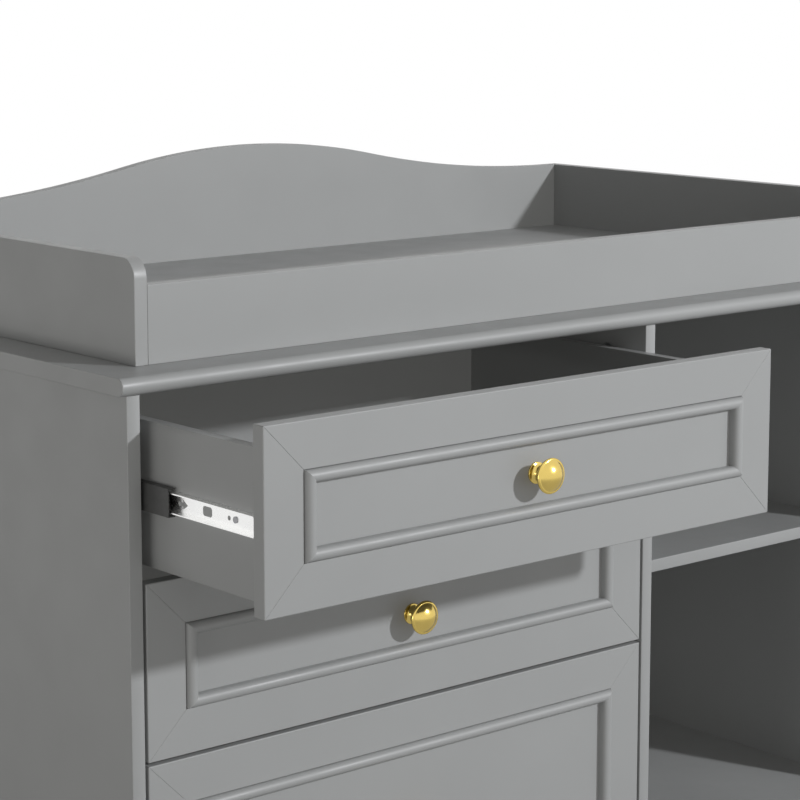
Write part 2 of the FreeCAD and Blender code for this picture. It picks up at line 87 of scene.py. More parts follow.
camera_data = bpy.data.cameras.new("camera")
camera_data.lens = long_lens
camera_data.shift_y = lens_shift
camera = bpy.data.objects.new("camera", camera_data)
scene.collection.objects.link(camera)
scene.camera = camera
camera.rotation_euler = (math.pi / 2 - tilt, 0, -heading)
level = math.cos(tilt)
sight = Vector((math.sin(heading) * level, math.cos(heading) * level, -math.sin(tilt)))
camera.location = aim - sight * camera_distance
print("the camera stands at", [round(edge, 3) for edge in camera.location])

# %% [markdown]
# ## Building materials from nodes
# Every finish here is procedural: noise and simple maths decide the colour and gloss of each point,
# so there are no picture files to lose. One helper adds a node and fills its sockets in a single
# call, which keeps a material's recipe readable. A socket takes a number, or another node's output
# to be linked.

# %% Add a node
def add(tree, kind, sockets=None, **settings):
    """Adds a node. settings are its options; sockets are values or outputs for its inputs."""
    node = tree.nodes.new(kind)
    for option, value in settings.items():
        setattr(node, option, value)
    for key, value in (sockets or {}).items():
        if isinstance(value, bpy.types.NodeSocket):
            tree.links.new(value, node.inputs[key])
        else:
            node.inputs[key].default_value = value
    return node

# %% [markdown]
# ## Groups of nodes
# A recipe that several finishes need is kept once, as a group with named sockets on its outside. A
# second helper makes the empty group, and its sockets are listed the way a reader would say them:
# a name, a kind and a starting value.

# %% Start a group
number, arrow = "NodeSocketFloat", "NodeSocketVector"


def new_group(group_name, inputs, output):
    """An empty shader group: inputs are (name, kind, value), output is (name, kind)."""
    group = bpy.data.node_groups.new(group_name, "ShaderNodeTree")
    for socket_name, kind, value in inputs:
        made = group.interface.new_socket(name=socket_name, in_out="INPUT", socket_type=kind)
        if value is not None:
            made.default_value = value
    group.interface.new_socket(name=output[0], in_out="OUTPUT", socket_type=output[1])
    given = group.nodes.new("NodeGroupInput").outputs
    return group, given, group.nodes.new("NodeGroupOutput").inputs


print("groups take sockets of", number, "and", arrow)

# %% [markdown]
# ## Effects that several finishes share
# Three small effects are used again and again, so each is a node group with named sockets. Cloudy
# tone is the slow drift in shade that any real coating has. Sprayed skin is the faint orange-peel
# surface of sprayed paint and moulded plastic. Drawn lines are the fine parallel marks that
# rolling, turning and brushing leave in metal, and with a long stretch they also make wood grain.

# %% Cloudy tone
# Noise gathers round a half, so the mask runs from Low to High to use the whole range.
cloudy_tone, given, result = new_group(
    "cloudy tone",
    [("Vector", arrow, None), ("Scale", number, 5.0), ("Low", number, 0.35),
     ("High", number, 0.65)],
    ("Mask", number))
cloud = add(cloudy_tone, "ShaderNodeTexNoise",
            {"Vector": given["Vector"], "Scale": given["Scale"], "Detail": 3.0})
spread = add(cloudy_tone, "ShaderNodeMapRange",
             {"Value": cloud.outputs[0], "From Min": given["Low"], "From Max": given["High"]})
cloudy_tone.links.new(spread.outputs[0], result["Mask"])

# %% Sprayed skin
sprayed_skin, given, result = new_group(
    "sprayed skin",
    [("Vector", arrow, None), ("Scale", number, 400.0), ("Fine share", number, 0.3)],
    ("Height", number))
fine_to_broad = 3.0
broad = add(sprayed_skin, "ShaderNodeTexNoise",
            {"Vector": given["Vector"], "Scale": given["Scale"], "Detail": 1.0})
finer = add(sprayed_skin, "ShaderNodeMath", {0: given["Scale"], 1: fine_to_broad},
            operation="MULTIPLY")
fine = add(sprayed_skin, "ShaderNodeTexNoise",
           {"Vector": given["Vector"], "Scale": finer.outputs[0]})
both = add(sprayed_skin, "ShaderNodeMix",
           {0: given["Fine share"], 2: broad.outputs[0], 3: fine.outputs[0]})
sprayed_skin.links.new(both.outputs[0], result["Height"])

# %% Drawn lines
drawn_lines, given, result = new_group(
    "drawn lines",
    [("Vector", arrow, None), ("Stretch", arrow, (1.0, 1.0, 1.0)), ("Scale", number, 100.0)],
    ("Height", number))
along = add(drawn_lines, "ShaderNodeMapping",
            {"Vector": given["Vector"], "Scale": given["Stretch"]})
lines = add(drawn_lines, "ShaderNodeTexNoise",
            {"Vector": along.outputs[0], "Scale": given["Scale"], "Detail": 4.0, "Roughness": 0.6})
drawn_lines.links.new(lines.outputs[0], result["Height"])
print("shared effects:", [group.name for group in bpy.data.node_groups])

# %% [markdown]
# ## A finish in general
# All the finishes have the same skeleton. Two close colours are mixed by a cloudy mask, a second
# mask moves the roughness a little, and a height feeds a Bump node. Only the numbers differ, so
# one function lays the skeleton down and each finish then adds what is its own.

# %% The skeleton of a finish
gloss_to_tone = 3


def tinted(colour, share):
    """The colour made lighter or darker by a share, ready for a colour socket."""
    return tuple(channel * (1 + share) for channel in colour) + (1.0,)


def finish_skeleton(finish_name, colour, drift, roughness, tone_scale, metallic=0.0):
    """A material whose colour drifts and whose roughness runs over a range. tone_scale says how
    fine its clouds are. Gives back the material, its tree, its shader and its coordinates."""
    material = bpy.data.materials.new(finish_name)
    material.use_nodes = True
    tree = material.node_tree
    shader = next(node for node in tree.nodes if node.type == "BSDF_PRINCIPLED")
    place = add(tree, "ShaderNodeTexCoord").outputs["Object"]
    tone = add(tree, "ShaderNodeGroup", node_tree=cloudy_tone)
    tree.links.new(place, tone.inputs["Vector"])
    tone.inputs["Scale"].default_value = tone_scale
    shade = add(tree, "ShaderNodeMix",
                {0: tone.outputs[0], 6: tinted(colour, -drift), 7: tinted(colour, drift)},
                data_type="RGBA")
    tree.links.new(shade.outputs[2], shader.inputs["Base Color"])
    patches = add(tree, "ShaderNodeGroup", node_tree=cloudy_tone)
    tree.links.new(place, patches.inputs["Vector"])
    patches.inputs["Scale"].default_value = tone_scale * gloss_to_tone
    gloss = add(tree, "ShaderNodeMapRange",
                {"Value": patches.outputs[0], "To Min": roughness[0], "To Max": roughness[1]})
    tree.links.new(gloss.outputs[0], shader.inputs["Roughness"])
    shader.inputs["Metallic"].default_value = metallic
    return material, tree, shader, place


def bumped(tree, shader, height, distance, strength):
    """Turns a height into the surface's fine relief."""
    bump = add(tree, "ShaderNodeBump",
               {"Height": height, "Distance": distance, "Strength": strength})
    tree.links.new(bump.outputs[0], shader.inputs["Normal"])


def shared(tree, group, place, **values):
    """Places a shared effect in a material and gives back its output."""
    node = add(tree, "ShaderNodeGroup", node_tree=group)
    tree.links.new(place, node.inputs["Vector"])
    for socket_name, value in values.items():
        node.inputs[socket_name.replace("_", " ")].default_value = value
    return node.outputs[0]


print("the gloss patches are", gloss_to_tone, "times as fine as the colour patches")

# %% [markdown]
# ## Grey paint, foil and hardboard
# The boards are fibreboard under a satin grey spray coat: almost no pattern, a soft highlight along
# each eased corner, and a skin of peel about two millimetres across. The drawer boxes wear a foil
# of the same grey, a touch glossier, with a very faint pressed grain along the board. The back
# sheet is thin hardboard painted matt, so it is rougher and slightly darker.

# %% Grey finishes
grey = (0.305, 0.310, 0.308)
foil_grey, sheet_grey = tinted(grey, -0.02)[:3], tinted(grey, -0.06)[:3]

board_paint, tree, shader, place = finish_skeleton(
    "satin grey paint", grey, drift=0.012, roughness=(0.42, 0.52), tone_scale=7.0)
bumped(tree, shader, shared(tree, sprayed_skin, place, Scale=420.0), distance=0.0002, strength=0.12)

box_foil, tree, shader, place = finish_skeleton(
    "grey foil", foil_grey, drift=0.015, roughness=(0.34, 0.42), tone_scale=9.0)
pressed_grain = shared(tree, drawn_lines, place, Stretch=(30.0, 1.0, 30.0), Scale=12.0)
bumped(tree, shader, pressed_grain, distance=0.0002, strength=0.15)

sheet_paint, tree, shader, place = finish_skeleton(
    "matt grey paint", sheet_grey, drift=0.02, roughness=(0.55, 0.7), tone_scale=6.0)
bumped(tree, shader, shared(tree, sprayed_skin, place, Scale=900.0, Fine_share=0.6),
       distance=0.0002, strength=0.3)
print("grey finishes:", board_paint.name, box_foil.name, sheet_paint.name)

# %% [markdown]
# ## Brass knobs
# The knobs are turned and polished brass under a thin lacquer. Polished metal shows mostly what is
# around it, so its own texture is slight: rings left by the lathe, which need the distance from
# the knob's axis. Each knob mesh carries that distance in an attribute, because three knobs share
# one material and each has its own axis.

# %% Brass
brass, tree, shader, place = finish_skeleton(
    "polished brass", (0.76, 0.57, 0.165), drift=0.03, roughness=(0.15, 0.21),
    tone_scale=60.0, metallic=1.0)
rings_per_metre = 2600.0
turned_radius = add(tree, "ShaderNodeAttribute", attribute_name="turned_radius")
rings = add(tree, "ShaderNodeTexNoise",
            {"W": turned_radius.outputs["Fac"], "Scale": rings_per_metre}, noise_dimensions="1D")
bumped(tree, shader, rings.outputs[0], distance=0.00004, strength=0.08)
print("brass:", brass.name)

# %% [markdown]
# ## Plated steel, cast zinc, beech and plastic
# The slides are rolled steel with a bright zinc plate: nearly white, with faint lines along the
# rolling direction. Their middle members are coloured near black as painted shade. The colour stands
# in for the shadow they sit in inside the cabinet, so they look dark between the bright ones. Screws
# are duller. The cam discs are cast, so they have a grainy skin and no lines. Dowels are bare beech,
# with grain along their length, and the glides are black moulded plastic.

# %% Steel finishes
# Rolling draws a pattern out along y, so the stretch squeezes it in x and z.
rolled = {"Stretch": (60.0, 1.0, 60.0), "Scale": 20.0}

zinc_plate, tree, shader, place = finish_skeleton(
    "bright zinc plate", (0.95, 0.95, 0.94), drift=0.02, roughness=(0.24, 0.32),
    tone_scale=25.0, metallic=1.0)
bumped(tree, shader, shared(tree, drawn_lines, place, **rolled), distance=0.00001, strength=0.05)

# Painted shade: this near-black colour stands in for the shadow the middle slide members sit in
# inside the cabinet; it is not a finish of their own.
slide_shade_steel, tree, shader, place = finish_skeleton(
    "slide steel darkened as painted shade", (0.035, 0.035, 0.034), drift=0.15, roughness=(0.42, 0.55),
    tone_scale=60.0)
bumped(tree, shader, shared(tree, drawn_lines, place, **rolled), distance=0.0001, strength=0.1)

screw_steel, tree, shader, place = finish_skeleton(
    "screw steel", (0.30, 0.30, 0.31), drift=0.06, roughness=(0.28, 0.42),
    tone_scale=120.0, metallic=1.0)
turned = shared(tree, drawn_lines, place, Stretch=(1.0, 1.0, 8.0), Scale=600.0)
bumped(tree, shader, turned, distance=0.0001, strength=0.2)
print("steel finishes:", zinc_plate.name, slide_shade_steel.name, screw_steel.name)

# %% Cast, wooden and moulded finishes
cast_zinc, tree, shader, place = finish_skeleton(
    "cast zinc", (0.50, 0.50, 0.52), drift=0.08, roughness=(0.38, 0.55),
    tone_scale=150.0, metallic=1.0)
bumped(tree, shader, shared(tree, sprayed_skin, place, Scale=1500.0, Fine_share=0.5),
       distance=0.0002, strength=0.4)

beech, tree, shader, place = finish_skeleton(
    "bare beech", (0.55, 0.38, 0.22), drift=0.10, roughness=(0.55, 0.68), tone_scale=150.0)
grain = shared(tree, drawn_lines, place, Stretch=(4.0, 30.0, 30.0), Scale=40.0)
bumped(tree, shader, grain, distance=0.0003, strength=0.4)

black_plastic, tree, shader, place = finish_skeleton(
    "black glide plastic", (0.03, 0.03, 0.032), drift=0.10, roughness=(0.40, 0.52), tone_scale=90.0)
bumped(tree, shader, shared(tree, sprayed_skin, place, Scale=1200.0), distance=0.0002, strength=0.3)
print("finishes so far:", len(bpy.data.materials))

# %% [markdown]
# ## How a piece is finished off
# A real board never has a knife-sharp corner: the arrises are sanded round by about a millimetre,
# and that is where paint catches the light. The pieces are modelled with sharp corners, each corner
# gets a weight, and a Bevel modifier rounds it. Hardened normals keep the wide faces perfectly
# flat beside the small rounds. Then the piece is hung on the sliding body it rides on, and the
# plain CAD node it stands for is hidden.

# %% Weigh corners and settle a piece
members_of_body = frame["record"]["behaviour"]["bodies"]
body_of_node = {node: body for body, members in members_of_body.items() for node in members}
arris_angle, arris_steps = math.radians(40), 3
weight_layer = "bevel_weight_edge"


def is_corner(edge):
    """Whether two faces meet here at a clear outward angle."""
    return edge.is_manifold and edge.calc_face_angle_signed() > arris_angle


def weigh(bm, wanted=is_corner, share=1.0):
    """Sets how much of the piece's full rounding the wanted corners get."""
    layers = bm.edges.layers.float
    layer = layers.get(weight_layer) or layers.new(weight_layer)
    for edge in bm.edges:
        if wanted(edge):
            edge[layer] = share


def settle(piece_name, bm, nodes, material, rounding=0.0):
    """Makes the object, rounds weighted corners, hangs it on its body and hides its CAD nodes."""
    layer = bm.edges.layers.float.get(weight_layer)
    for face in bm.faces:
        face.smooth = True
    for edge in bm.edges:
        rounded = bool(rounding and layer and edge[layer])
        shallow = not edge.is_manifold or edge.calc_face_angle() < arris_angle
        edge.smooth = edge.smooth and (rounded or shallow)
    mesh = bpy.data.meshes.new(piece_name)
    bm.to_mesh(mesh)
    bm.free()
    mesh.materials.append(material)
    piece = bpy.data.objects.new(piece_name, mesh)
    scene.collection.objects.link(piece)
    if rounding:
        bevel = piece.modifiers.new("rounded corners", "BEVEL")
        bevel.limit_method, bevel.width, bevel.segments = "WEIGHT", rounding, arris_steps
        bevel.harden_normals, bevel.use_clamp_overlap = True, False
    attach(piece, body_of_node[nodes[0]])
    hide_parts(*nodes)
    return piece


print("bodies to ride on:", ", ".join(members_of_body))

# %% [markdown]
# ## Boards with holes in them
# The uprights, the bottom board and the drawer boxes are bored for cams, dowels and screws, and
# those holes are worth keeping. Here the CAD mesh is copied and its loose triangles are merged.
# Flat faces become whole again, and only the long corners are rounded: the short edges round the
# holes stay as they are.

# %% Round the corners of the bored boards
paint_rounding, foil_rounding, sheet_rounding = 0.0008, 0.0006, 0.0004
longest_hole_edge = 0.004
touching, flat_angle = 1e-6, math.radians(0.5)


def is_long_corner(edge):
    """Whether this is a board's own corner, not one of the short edges round a hole."""
    return is_corner(edge) and edge.calc_length() > longest_hole_edge


def bored_board(node, material, rounding=paint_rounding):
    """A copy of a CAD board with its long corners rounded."""
    bm = bmesh.new()
    bm.from_mesh(frame["nodes"][node].data)
    bmesh.ops.remove_doubles(bm, verts=bm.verts, dist=touching)
    bmesh.ops.dissolve_limit(bm, angle_limit=flat_angle, verts=bm.verts, edges=bm.edges)
    weigh(bm, is_long_corner)
    return settle(node + "_finished", bm, [node], material, rounding)


carcass_boards = ["left_side_panel", "right_side_panel", "divider_panel", "bottom_board",
                  "shelf_board", "front_base_rail", "rear_base_rail", "centre_base_rail"]
for node in carcass_boards:
    bored_board(node, board_paint)
bored_board("back_sheet", sheet_paint, sheet_rounding)
print("bored boards:", len(carcass_boards) + 1)

# %% [markdown]
# ## Plain boards
# The tray's rail and bottom, and the cap board, start as a cube stretched to the CAD board's own
# box. The cap board then gets its nosing: bevelling the two long front corners by half the
# thickness turns them into one full half-round. Its underside is raised by a hair, so the screw
# heads that lie flush with it stay in sight.

# %% Cap board and plain tray boards
nosing_steps, nosing_seam, cap_rounding = 12, 2e-4, 0.001
screw_heads_show = 0.00005
same_place = 1e-5


def plain_board(node, lift=0.0):
    """A bmesh box as large as a CAD node, in its place. lift raises its underside."""
    low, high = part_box(node)
    low.z += lift
    bm = bmesh.new()
    bmesh.ops.create_cube(bm, size=1.0)
    bmesh.ops.scale(bm, vec=high - low, verts=bm.verts)
    bmesh.ops.translate(bm, vec=(low + high) / 2, verts=bm.verts)
    return bm


def round_over(bm, edges, radius, steps):
    """Rounds some corners of a bmesh by a large radius."""
    return bmesh.ops.bevel(bm, geom=edges, offset=radius, offset_type="OFFSET", affect="EDGES",
                           segments=steps, profile=0.5, material=-1, clamp_overlap=False)


def lies_at(edge, axis, value):
    """Whether both ends of an edge have this coordinate."""
    return all(abs(vertex.co[axis] - value) < same_place for vertex in edge.verts)


cap_low, cap_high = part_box("cap_board")
bm = plain_board("cap_board", lift=screw_heads_show)
nosing_corners = [edge for edge in bm.edges if lies_at(edge, 1, cap_low.y)
                  and not lies_at(edge, 0, cap_low.x) and not lies_at(edge, 0, cap_high.x)]
nosing_radius = (cap_high.z - cap_low.z) / 2 - screw_heads_show
round_over(bm, nosing_corners, nosing_radius, nosing_steps)
bmesh.ops.remove_doubles(bm, verts=bm.verts, dist=nosing_seam)
weigh(bm)
settle("cap_board_with_nosing", bm, ["cap_board"], board_paint, cap_rounding)

for node in ("tray_front_rail", "tray_bottom_board"):
    bm = plain_board(node)
    weigh(bm)
    settle(node + "_finished", bm, [node], board_paint, paint_rounding)
print("nosing corners rounded:", len(nosing_corners))

# %% [markdown]
# ## Tray sides
# Each side is a straight board whose front top corner is cut to a quarter circle, so a child's arm
# meets no point. One bevel of that single corner does it, with enough steps to stay round in a
# close view.

# %% Tray sides
side_corner_radius, side_corner_steps = 0.020, 16
for node in ("tray_left_side", "tray_right_side"):
    low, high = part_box(node)
    bm = plain_board(node)
    corner = [edge for edge in bm.edges if lies_at(edge, 1, low.y) and lies_at(edge, 2, high.z)]
    round_over(bm, corner, side_corner_radius, side_corner_steps)
    weigh(bm)
    settle(node + "_finished", bm, [node], board_paint, paint_rounding)
print("tray sides' front corners have a radius of", side_corner_radius)

# %% [markdown]
# ## The waved back of the tray
# Its top edge is three arcs that run into each other: a hollow, the crest, and a hollow again. A
# spun vertex leaves an arc of edges behind it, so the outline is drawn by carrying one vertex
# along. The outline is then extruded down to the base of the board and back through its thickness.

# %% Carry a vertex along a line
def vertices_in(items):
    """The vertices among what a bmesh operator gives back."""
    return [item for item in items if isinstance(item, bmesh.types.BMVert)]


def arc_to(bm, start, middle, end, steps):
    """Carries a vertex along the arc through middle to end, and gives back the last vertex."""
    first, second, third = start.co.copy(), Vector(middle) - start.co, Vector(end) - start.co
    normal = second.cross(third)
    to_centre = (normal.cross(second) * third.length_squared
                 + third.cross(normal) * second.length_squared)
    centre = first + to_centre / (2 * normal.length_squared)
    spokes = [first - centre, first + second - centre, first + third - centre]
    turn = spokes[0].angle(spokes[1]) + spokes[1].angle(spokes[2])
    made = bmesh.ops.spin(bm, geom=[start], cent=centre, axis=normal.normalized(), angle=turn,
                          steps=steps)
    return vertices_in(made["geom_last"])[0]


def line_to(bm, start, end):
    """Draws one straight edge from a vertex, and gives back the vertex at its end."""
    last = bm.verts.new(end)
    bm.edges.new((start, last))
    return last


def report(label, bm):
    """Prints how large a mesh is and whether it is closed."""
    loose = sum(not edge.is_manifold for edge in bm.edges)
    print(label, "has", len(bm.faces), "faces and", loose, "loose edges")


# %% Tray back
half_length, crest_share = 0.513, 0.37
hollow_steps, crest_steps = 20, 28
low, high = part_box("tray_back_panel")
centre_x, shoulder = (low.x + high.x) / 2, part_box("tray_left_side")[1].z
slope = 2 * math.atan((high.z - shoulder) / half_length)
hollow_radius = (1 - crest_share) * half_length / math.sin(slope)


def hollow_point(angle, side):
    """A point on the hollow at one side (-1 or 1), at an angle up from its level end."""
    return Vector((centre_x + side * (half_length - hollow_radius * math.sin(angle)), low.y,
                   shoulder + hollow_radius * (1 - math.cos(angle))))


bm = bmesh.new()
tip = line_to(bm, bm.verts.new((low.x, low.y, shoulder)), hollow_point(0, -1))
tip = arc_to(bm, tip, hollow_point(slope / 2, -1), hollow_point(slope, -1), hollow_steps)
tip = arc_to(bm, tip, Vector((centre_x, low.y, high.z)), hollow_point(slope, 1), crest_steps)
tip = arc_to(bm, tip, hollow_point(slope / 2, 1), hollow_point(0, 1), hollow_steps)
line_to(bm, tip, Vector((high.x, low.y, shoulder)))
sheet = bmesh.ops.extrude_edge_only(bm, edges=list(bm.edges))
for vertex in vertices_in(sheet["geom"]):
    vertex.co.z = low.z
block = bmesh.ops.extrude_face_region(bm, geom=list(bm.faces), use_keep_orig=True)
bmesh.ops.translate(bm, vec=(0, high.y - low.y, 0), verts=vertices_in(block["geom"]))
bmesh.ops.recalc_face_normals(bm, faces=bm.faces)
weigh(bm)
report("tray back", bm)
settle("tray_back_with_wave", bm, ["tray_back_panel"], board_paint, paint_rounding)

# %% [markdown]
# ## Drawer fronts
# A drawer front is four flat bars mitred round a thin panel. Each bar is one four-sided face,
# extruded back through its thickness. The outer corners are rounded most; the corners along the
# mitres and round the opening get a smaller share, which leaves the hairline groove that shows
# where two bars meet.

# %% Frame bars
frame_width, bar_rounding, mitre_share = 0.0456, 0.0012, 0.4


def ring_corners(low, high, inset, y):
    """The four corners of a rectangle that lies a distance inside a drawer front's outline."""
    x0, x1, z0, z1 = low.x + inset, high.x - inset, low.z + inset, high.z - inset
    return [Vector((x, y, z)) for x, z in ((x0, z0), (x1, z0), (x1, z1), (x0, z1))]


def frame_bars(drawer):
    """The two rails and two stiles of a drawer front."""
    low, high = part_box(drawer + "_front_frame")
    outer, inner = ring_corners(low, high, 0, low.y), ring_corners(low, high, frame_width, low.y)
    bm = bmesh.new()
    for start in range(4):
        end = (start + 1) % 4
        bar = (outer[start], outer[end], inner[end], inner[start])
        face = bm.faces.new([bm.verts.new(point) for point in bar])
        back = bmesh.ops.extrude_face_region(bm, geom=[face], use_keep_orig=True)
        bmesh.ops.translate(bm, vec=(0, high.y - low.y, 0), verts=vertices_in(back["geom"]))
    bmesh.ops.recalc_face_normals(bm, faces=bm.faces)

    def is_outline(edge):
        return any(lies_at(edge, axis, end[axis]) for axis in (0, 2) for end in (low, high))

    weigh(bm, is_corner, mitre_share)
    weigh(bm, is_outline)
    report(drawer + " frame", bm)
    return settle(drawer + "_mitred_frame", bm, [drawer + "_front_frame"], board_paint,
                  bar_rounding)


print("frame bars are", frame_width, "wide")

# %% [markdown]
# ## Bead moulding
# A bead stands on the panel, with straight sides up to the face of the frame and a half-round
# crown proud of it, mitred at its corners. Insetting a face makes a ring with mitred corners, and
# each inset can also lift the face, so a chain of small insets walks over the crown from its outer
# edge to its inner one. The faces left in the middle are deleted, front and back, and the two
# openings are bridged to close the ring.

# %% Bead
bead_width, bead_shoulder, bead_height = 0.0124, 0.005, 0.0112
crown_steps = 16


def bead_steps(count):
    """The steps across and up that follow the crown from one shoulder to the other."""
    rise, half = bead_height - bead_shoulder, bead_width / 2
    radius = (half ** 2 + rise ** 2) / (2 * rise)
    reach = 2 * math.atan(rise / half)
    points = [(half + radius * math.sin(angle), bead_height - radius * (1 - math.cos(angle)))
              for angle in (reach * (2 * step / count - 1) for step in range(count + 1))]
    return [(b[0] - a[0], b[1] - a[1]) for a, b in zip(points, points[1:])]


def bead_ring(drawer):
    """The bead round one drawer's panel."""
    low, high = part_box(drawer + "_front_bead")
    bm = bmesh.new()
    base = bm.faces.new([bm.verts.new(point) for point in ring_corners(low, high, 0, high.y)])
    up = bmesh.ops.extrude_face_region(bm, geom=[base], use_keep_orig=True)
    top = next(item for item in up["geom"] if isinstance(item, bmesh.types.BMFace))
    bmesh.ops.translate(bm, vec=(0, -bead_shoulder, 0), verts=top.verts)
    for across, rise in bead_steps(crown_steps):
        bmesh.ops.inset_region(bm, faces=[top], thickness=across, use_even_offset=True)
        bmesh.ops.translate(bm, vec=(0, -rise, 0), verts=top.verts)
    down = bmesh.ops.extrude_discrete_faces(bm, faces=[top])
    middle = down["faces"][0]
    bmesh.ops.translate(bm, vec=(0, bead_shoulder, 0), verts=middle.verts)
    bmesh.ops.delete(bm, geom=[base, middle], context="FACES_ONLY")
    bmesh.ops.bridge_loops(bm, edges=[edge for edge in bm.edges if edge.is_boundary])
    bmesh.ops.recalc_face_normals(bm, faces=bm.faces)
    for edge in bm.edges:
        run = edge.verts[1].co - edge.verts[0].co
        runs_along_mitre = abs(abs(run.x) - abs(run.z)) < touching
        if runs_along_mitre and run.length > same_place:
            edge.smooth = False
    report(drawer + " bead", bm)
    return settle(drawer + "_bead_ring", bm, [drawer + "_front_bead"], board_paint)


print("the bead's crown stands proud by", round(bead_height - bead_shoulder, 4))

# %% [markdown]
# ## Knobs
# A knob is turned on a lathe, so it is drawn as half a section and spun about its axis: a small
# foot, a cove into the neck, a flare out to the rim, a narrow step and a low dome. Every vertex
# then stores its distance from the axis for the brass material's rings.

# %% Knob
# Radii from the axis and distances from the drawer front, in metres.
foot_radius, foot_side, foot_end = 0.011, 0.0013, 0.0018
foot_round, foot_round_middle = 0.0004, 0.00012
foot_bead, foot_bead_middle = 0.0005, (0.0001, 0.0016)
cove_middle, neck_radius, neck_start, neck_end = (0.0066, 0.0044), 0.0055, 0.0095, 0.0125
flare_middle, rim_back, rim_middle, rim_front = (0.0094, 0.0172), 0.0196, 0.0210, 0.0224
rim_face_inset, step_inset, step_out = 0.0008, 0.0024, 0.0229
step_hollow = (0.0002, 0.0001)
fine_steps, arc_steps, dome_steps, lathe_steps = 3, 8, 12, 64


def knob(drawer):
    """One drawer's knob, turned about its own axis."""
    low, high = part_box(drawer + "_knob")
    axis_x, axis_z, seat = (low.x + high.x) / 2, (low.z + high.z) / 2, high.y
    rim, reach = (high.x - low.x) / 2, high.y - low.y

    def at(radius, distance):
        return Vector((axis_x + radius, seat - distance, axis_z))

    rim_face, step_radius = rim - rim_face_inset, rim - step_inset
    dome = reach - step_out
    dome_radius = (step_radius ** 2 + dome ** 2) / (2 * dome)
    half_angle = math.asin(step_radius / dome_radius) / 2
    dome_middle = at(dome_radius * math.sin(half_angle),
                     reach - dome_radius * (1 - math.cos(half_angle)))
    step_middle = at((rim_face + step_radius) / 2 + step_hollow[0], step_out - step_hollow[1])

    bm = bmesh.new()
    tip = line_to(bm, bm.verts.new(at(0, 0)), at(foot_radius - foot_round, 0))
    tip = arc_to(bm, tip, at(foot_radius - foot_round_middle, foot_round_middle),
                 at(foot_radius, foot_round), fine_steps)
    tip = line_to(bm, tip, at(foot_radius, foot_side))
    tip = arc_to(bm, tip, at(foot_radius - foot_bead_middle[0], foot_bead_middle[1]),
                 at(foot_radius - foot_bead, foot_end), fine_steps)
    tip = arc_to(bm, tip, at(*cove_middle), at(neck_radius, neck_start), arc_steps)
    tip = line_to(bm, tip, at(neck_radius, neck_end))
    tip = arc_to(bm, tip, at(*flare_middle), at(rim_face, rim_back), arc_steps)
    tip = arc_to(bm, tip, at(rim, rim_middle), at(rim_face, rim_front), arc_steps)
    tip = arc_to(bm, tip, step_middle, at(step_radius, step_out), fine_steps)
    arc_to(bm, tip, dome_middle, at(0, reach), dome_steps)
    bmesh.ops.spin(bm, geom=list(bm.verts) + list(bm.edges), cent=at(0, 0), axis=(0, 1, 0),
                   angle=2 * math.pi, steps=lathe_steps, use_merge=True)
    bmesh.ops.remove_doubles(bm, verts=bm.verts, dist=touching)
    bmesh.ops.recalc_face_normals(bm, faces=bm.faces)
    report(drawer + " knob", bm)
    piece = settle(drawer + "_turned_knob", bm, [drawer + "_knob"], brass)
    distance = piece.data.attributes.new("turned_radius", "FLOAT", "POINT")
    for vertex, store in zip(piece.data.vertices, distance.data):
        store.value = math.hypot(vertex.co.x - axis_x, vertex.co.z - axis_z)
    return piece


print("a knob's neck is", 2 * neck_radius, "across")

# %% [markdown]
# ## The drawers together
# The three drawers are built alike, so a loop makes each one's frame, bead, panel and knob. The
# panel is a plain board whose edges hide in the frame. The box behind it is bored for its fittings,
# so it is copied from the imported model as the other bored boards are.

# %% Build the three drawers
for drawer in ("top_drawer", "middle_drawer", "bottom_drawer"):
    frame_bars(drawer)
    bead_ring(drawer)
    panel = plain_board(drawer + "_front_panel")
    settle(drawer + "_flat_panel", panel, [drawer + "_front_panel"], board_paint)
    knob(drawer)
    for part in ("box_sides", "box_back", "box_bottom"):
        bored_board(f"{drawer}_{part}", box_foil, foil_rounding)

# %% [markdown]
# ## Fittings that keep their CAD shape
# Cams, dowels, screws, pins, glides and slide members already have the right shape, so they only
# need their finishes. The record says which slot each node has, and a table from slot to finish
# does the rest. Only the middle slide members are told apart by name, because they share their
# slot with the bright ones: they get the near-black steel that is painted shade for the shadow
# they sit in.

# %% Finishes for the fittings
finish_of_slot = {"painted_board": board_paint, "drawer_box_board": box_foil,
                  "back_sheet_paint": sheet_paint, "knob_brass": brass, "bright_steel": zinc_plate,
                  "screw_steel": screw_steel, "cam_zinc": cast_zinc, "dowel_beech": beech,
                  "glide_plastic": black_plastic}
subparts = frame["record"]["subparts"]
slot_of_node = {subpart["node"]: subpart["material_slot"] for subpart in subparts}
fittings = [node for node in slot_of_node if not frame["nodes"][node].hide_render]
for node in fittings:
    # Middle slide members take the steel darkened as painted shade.
    finish = slide_shade_steel if node.endswith("slide_middle") else finish_of_slot[slot_of_node[node]]
    for material_slot in frame["nodes"][node].material_slots:
        material_slot.material = finish
print("fittings:", len(fittings))

# %% [markdown]
# ## The floor
# The studio has a pale floor that fades to white away from the piece, so no horizon shows. The
# fade is a glow that only the camera and reflections see, and it stays below full white near the
# piece, so that its shadow shows there. A bright floor would also light every underside, so the
# floor throws back less light than it shows.

# %% Floor
floor_reach, fade_start, near_glow, floor_sides = 6.0, 1.2, 0.45, 96
fade_end = floor_reach * 0.6
floor_pale, bounce_grey = (0.86, 0.86, 0.86, 1.0), (0.25, 0.25, 0.25, 1.0)
plain_white = (1.0, 1.0, 1.0, 1.0)
bm = bmesh.new()
bmesh.ops.create_circle(bm, cap_ends=True, segments=floor_sides, radius=floor_reach)
floor_mesh = bpy.data.meshes.new("studio_floor")
bm.to_mesh(floor_mesh)
bm.free()
studio_floor = bpy.data.objects.new("studio_floor", floor_mesh)
scene.collection.objects.link(studio_floor)
studio_floor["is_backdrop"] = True
print("the floor reaches", floor_reach, "m from the middle")

